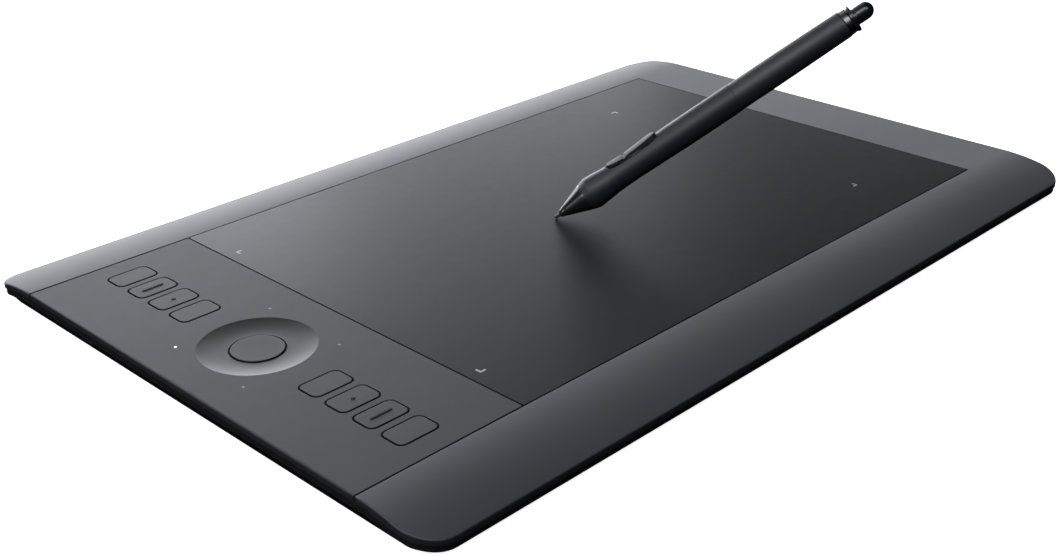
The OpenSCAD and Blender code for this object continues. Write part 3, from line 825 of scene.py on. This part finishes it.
GRIP_LINE = [(6.05, 15.45), (6.12, 15.6), (6.7, 17.5), (6.85, 18.5), (6.75, 20), (6.3, 25), (5.95, 29),
             (5.8, 36), (5.85, 44), (6, 54), (6.12, 62), (6.12, 85.5), (6.02, 87.15), (5.9, 87.3)]
SWITCH_HALF_L = 11.7
SWITCH_HALF_W = 3.75
SWITCH_GAP = 0.55
SQUARENESS = 5.0    # power of the superellipse that the switch and its opening follow


def height_at(line, z):
    """Value at z of a line of (value, z) points."""
    for (r0, z0), (r1, z1) in zip(line, line[1:]):
        if z <= z1:
            return r0 + (r1 - r0) * max(0.0, z - z0) / (z1 - z0)
    return line[-1][0]


def window_half(z, half_l, half_w):
    """Half width, at height z, of the rounded opening for the side switch."""
    t = min(1.0, abs(z - SWITCH_MID) / half_l)
    return half_w * (1 - t ** SQUARENESS) ** (1 / SQUARENESS)


def build_grip():
    """Rubber sleeve with the side switch's opening."""
    half_l, half_w = SWITCH_HALF_L + SWITCH_GAP, SWITCH_HALF_W + SWITCH_GAP
    line = spline(GRIP_LINE, 5)
    heights = [p[1] for p in line]
    steps = 26
    heights += [SWITCH_MID - half_l * math.cos(math.pi * k / steps) for k in range(steps + 1)]
    heights = sorted(set(round(h, 4) for h in heights))
    columns = 110
    lip, no_opening = 0.15, 0.05
    bm = bmesh.new()
    rows = []
    for z in heights:
        radius = height_at(line, z)
        half = window_half(z, half_l, half_w)
        gap = math.asin(min(1.0, half / radius))
        rows.append([[], []])
        for k in range(columns + 1):
            angle = gap + (2 * math.pi - 2 * gap) * k / columns
            edge = lip if half > no_opening and k in (0, columns) else 0.0
            for side, r in ((0, radius - edge), (1, CARRIER_R)):
                point = (r * math.cos(angle) * MM, r * math.sin(angle) * MM, z * MM)
                rows[-1][side].append(bm.verts.new(point))
    for low, high in zip(rows, rows[1:]):
        for side in (0, 1):
            for k in range(columns):
                bm.faces.new((low[side][k], low[side][k + 1], high[side][k + 1], high[side][k]))
        middle = (low[0][0].co.z + high[0][0].co.z) / 2 / MM
        if window_half(middle, half_l, half_w) > 0:
            for k in (0, columns):
                bm.faces.new((low[0][k], high[0][k], high[1][k], low[1][k]))
    for row in (rows[0], rows[-1]):
        for k in range(columns):
            bm.faces.new((row[0][k], row[0][k + 1], row[1][k + 1], row[1][k]))
    finish_piece("grip_rubber", bm, GRIP, "pen", ["grip_sleeve"], PEN)


SWITCH_LINE = [(6.3, -11.7), (6.65, -11.1), (6.65, -9.5), (6.45, -5.2), (6.35, -4.8), (5.7, -4.1),
               (5.7, -3.7), (6.4, -3.0), (6.5, -2.6), (6.95, 5), (7.25, 9.2), (7.15, 11.0), (6.7, 11.7)]


def build_switch():
    """Rocker: two raised bars with a groove across between them, round as the pen is."""
    line = soften(SWITCH_LINE, 0.3, 3)

    def height(y, z):
        return math.sqrt(height_at(line, z) ** 2 - y * y)

    turns, rounds, roll_steps = 160, 22, 4
    roll = 0.3
    skirt_x, base_x = 4.4, 4.3
    power = 2 / SQUARENESS
    bm = bmesh.new()
    rings = [[bm.verts.new((height(0, 0) * MM, 0, SWITCH_MID * MM))]]

    def ring(share, shrink, drop, base=None):
        made = []
        for k in range(turns):
            a = 2 * math.pi * k / turns
            cz = math.copysign(abs(math.cos(a)) ** power, math.cos(a))
            cy = math.copysign(abs(math.sin(a)) ** power, math.sin(a))
            z = share * cz * (SWITCH_HALF_L - shrink)
            y = share * cy * (SWITCH_HALF_W - shrink)
            x = base if base is not None else height(y, z) - drop
            made.append(bm.verts.new((x * MM, y * MM, (SWITCH_MID + z) * MM)))
        return made

    rings += [ring(k / rounds, roll, 0) for k in range(1, rounds + 1)]
    for k in range(1, roll_steps + 1):
        turn = math.radians(90 / roll_steps * k)
        rings.append(ring(1, roll * (1 - math.sin(turn)), roll * (1 - math.cos(turn))))
    rings.append(ring(1, 0, 0, base=skirt_x))
    rings.append(ring(1, skirt_x - base_x, 0, base=base_x))
    for inner, outer_ring in zip(rings, rings[1:]):
        for i in range(turns):
            j = (i + 1) % turns
            corners = [inner[i % len(inner)], outer_ring[i], outer_ring[j], inner[j % len(inner)]]
            bm.faces.new(list(dict.fromkeys(corners)))
    bm.faces.new(rings[-1])
    # the switch's sides take the painted shade of the gap round it
    finish_piece("side_switch", bm, SWITCH, "switch_body", ["pen_switch"], PEN,
                 weighted=False, shade_walls=GAP_SHADE, facing=(1, 0, 0))


def build_pen():
    """The turned pieces from the nib to the eraser, then the side switch."""
    tip = [(NIB_R * math.sin(a), NIB_R * (1 - math.cos(a)))
           for a in (math.radians(9 * k) for k in range(11))]
    rod = [(NIB_R, 10), (NIB_R, 28.9), (NIB_R - 0.1, 29), (0, 29)]
    pen_lathe("nib_point", tip + rod, NIB, "nib_body", ["nib"], closed=False, turns=48)
    cone = [(1.0, 2.4), (1.25, 2.42), (1.4, 2.6), (2.3, 5.05), (2.3, 5.2), (2.45, 5.35)]
    cone += spline([(2.45, 5.35), (3.4, 8), (4.4, 10.8), (5.3, 13.2), (5.8, 14.6), (6.0, 15.3)], 4)[1:]
    bore = [(6.0, 15.4), (4.5, 15.4), (4.5, 12.8), (0.95, 12.8), (0.95, 2.5)]
    pen_lathe("nose", cone + bore, GLOSS, "pen", ["nose_cone"])
    build_grip()
    barrel = [(CARRIER_R, 87.5), (5.8, 87.5), (5.92, 87.62)]
    barrel += spline([(5.94, 87.8), (5.94, 105), (5.79, 123), (5.59, 138.2)], 8)
    barrel += [(5.5, 138.36), (5.4, 138.4), (CARRIER_R, 138.4)]
    pen_lathe("barrel", barrel, BARREL, "pen", ["upper_barrel"])
    accent = soften([(4.2, 138.5), (5.4, 138.5), (5.25, 140.9), (4.2, 140.9)], 0.2, closed=True)
    pen_lathe("accent", accent, ACCENT, "pen", ["accent_ring"])
    collar = soften([(3.6, 138.2), (4.15, 138.2), (4.15, 141), (5.15, 141), (5.7, 142.3), (5.65, 142.8),
                     (4.6, 142.8), (4.1, 142.1), (3.6, 142.1)], 0.15, closed=True)
    pen_lathe("collar", collar, GLOSS, "pen", ["end_collar"])
    stem = [(0, 139.5), (ERASER_R - 0.15, 139.5), (ERASER_R, 139.7), (ERASER_R, 143.6),
            (ERASER_R - 0.1, 143.75), (ERASER_R - 0.1, 144.0), (ERASER_R, 144.15)]
    dome_z = ERASER_END - ERASER_R
    dome = [(ERASER_R * math.cos(a), dome_z + ERASER_R * math.sin(a))
            for a in (math.radians(7.5 * k) for k in range(12))]
    pen_lathe("eraser_cap", stem + dome + [(0, ERASER_END)], GLOSS, "eraser_body", ["eraser"],
              closed=False)
    build_switch()


# ---------- inner pieces that keep their own shape ----------

def paint_inner_pieces():
    """Materials of the CAD nodes that stay as they are."""
    painted = {
        BOARD: ["sensor_board", "main_board", "key_board", "pen_board"],
        PLATED: ["shield_plate", "usb_inlet", "dome_switches", "nib_sensor", "eraser_sensor"],
        FILM: ["sensor_ribbon", "key_ribbon"],
        STEEL: ["case_screws"],
        ACCENT: ["switch_pin"],
        COPPER: ["pen_coil"],
        INNER: ["pen_carrier", "switch_contacts"],
        DIM: ["status_leds"]}
    for material, nodes in painted.items():
        for node in nodes:
            mesh = frame["nodes"][node].data
            mesh.materials.clear()
            mesh.materials.append(material)


# ---------- stage ----------

STAGE_REACH = 8
FLOOR_DROP = 0.05 * MM
TINT = (0.925, 0.94, 1.0)
SOFTBOX_DISTANCE = 1.5


def stage_piece(name, bm, material):
    """Background that only the camera sees, so it puts no light on the object from below."""
    mesh = bpy.data.meshes.new(name)
    bm.to_mesh(mesh)
    bm.free()
    mesh.materials.append(material)
    stage = bpy.data.objects.new(name, mesh)
    bpy.context.scene.collection.objects.link(stage)
    stage.visible_glossy = False
    stage.visible_diffuse = False
    return stage


def build_stage():
    """Pale floor just under the feet, and a pale dome of the same finish round everything."""
    material = bpy.data.materials.new("floor_pale")
    material.use_nodes = True
    shader = material.node_tree.nodes["Principled BSDF"]
    shader.inputs["Base Color"].default_value = (0.9, 0.9, 0.9, 1)
    shader.inputs["Roughness"].default_value = 0.9
    shader.inputs["Specular IOR Level"].default_value = 0.0
    shader.inputs["Emission Color"].default_value = (1, 1, 1, 1)
    shader.inputs["Emission Strength"].default_value = 0.9
    bm = bmesh.new()
    bmesh.ops.create_grid(bm, x_segments=2, y_segments=2, size=STAGE_REACH)
    stage_piece("floor", bm, material).location.z = -FLOOR_DROP
    bm = bmesh.new()
    bmesh.ops.create_uvsphere(bm, u_segments=48, v_segments=24, radius=STAGE_REACH)
    stage_piece("backdrop", bm, material)


def softbox(name, azimuth, elevation, width, height, power):
    """Area light aimed at the middle of the tablet. Azimuth is from +X toward +Y."""
    data = bpy.data.lights.new(name, "AREA")
    data.shape = "RECTANGLE"
    data.size, data.size_y = width, height
    data.energy = power
    data.color = TINT
    lamp = bpy.data.objects.new(name, data)
    bpy.context.scene.collection.objects.link(lamp)
    az, el = math.radians(azimuth), math.radians(elevation)
    away = Vector((math.cos(az) * math.cos(el), math.sin(az) * math.cos(el), math.sin(el)))
    lamp.location = away * SOFTBOX_DISTANCE
    lamp.rotation_euler = away.to_track_quat("Z", "Y").to_euler()
    lamp.visible_camera = False


def light_scene():
    """Soft boxes low at the far side, which give the sheen on the sheet and the pen, and high ones all
    round, which light the palm strips."""
    softbox("right_low", 30, 4, 0.6, 0.3, 2)
    softbox("far_low", 50, 4, 0.6, 0.3, 3.2)
    softbox("back_low", 70, 4, 0.6, 0.3, 2.1)
    softbox("far_middle", 50, 14, 0.6, 0.4, 2.1)
    softbox("back_middle", 70, 14, 0.6, 0.4, 7)
    softbox("back_left", 95, 14, 0.6, 0.4, 4.6)
    softbox("left_low", 172, 14, 0.5, 0.4, 4.5)
    softbox("back_high", 60, 50, 0.6, 0.6, 1.7)
    softbox("left_high", 140, 48, 0.6, 0.6, 3.6)
    softbox("front_high", 200, 48, 0.6, 0.6, 6.3)
    softbox("right_high", 240, 48, 0.6, 0.6, 6.3)
    world = bpy.data.worlds.new("studio")
    bpy.context.scene.world = world
    world.use_nodes = True
    sky = world.node_tree.nodes["Background"]
    sky.inputs["Color"].default_value = (*TINT, 1)
    sky.inputs["Strength"].default_value = 0.004
    bpy.context.scene.view_settings.view_transform = "Standard"


def build_camera():
    """Camera at the front corner of the key end, looking down along the diagonal."""
    place = (-0.3996, -0.3778, 0.2498)
    heading, tilt, roll = (math.radians(a) for a in (45.03, -25.86, -0.86))
    square = math.radians(90)
    data = bpy.data.cameras.new("camera")
    data.lens = 49.26
    data.sensor_width = 36
    data.clip_start = 0.01
    camera = bpy.data.objects.new("camera", data)
    turn = (Matrix.Rotation(heading - square, 4, "Z") @ Matrix.Rotation(square + tilt, 4, "X")
            @ Matrix.Rotation(roll, 4, "Z"))
    camera.matrix_world = Matrix.Translation(place) @ turn
    bpy.context.scene.collection.objects.link(camera)
    bpy.context.scene.camera = camera


build_camera()
build_stage()
light_scene()
build_top_case()
build_key_panel()
build_sheet()
build_corner_marks()
build_keys()
build_ring()
build_light_pins()
build_bottom_case()
build_feet()
build_pen()
paint_inner_pieces()
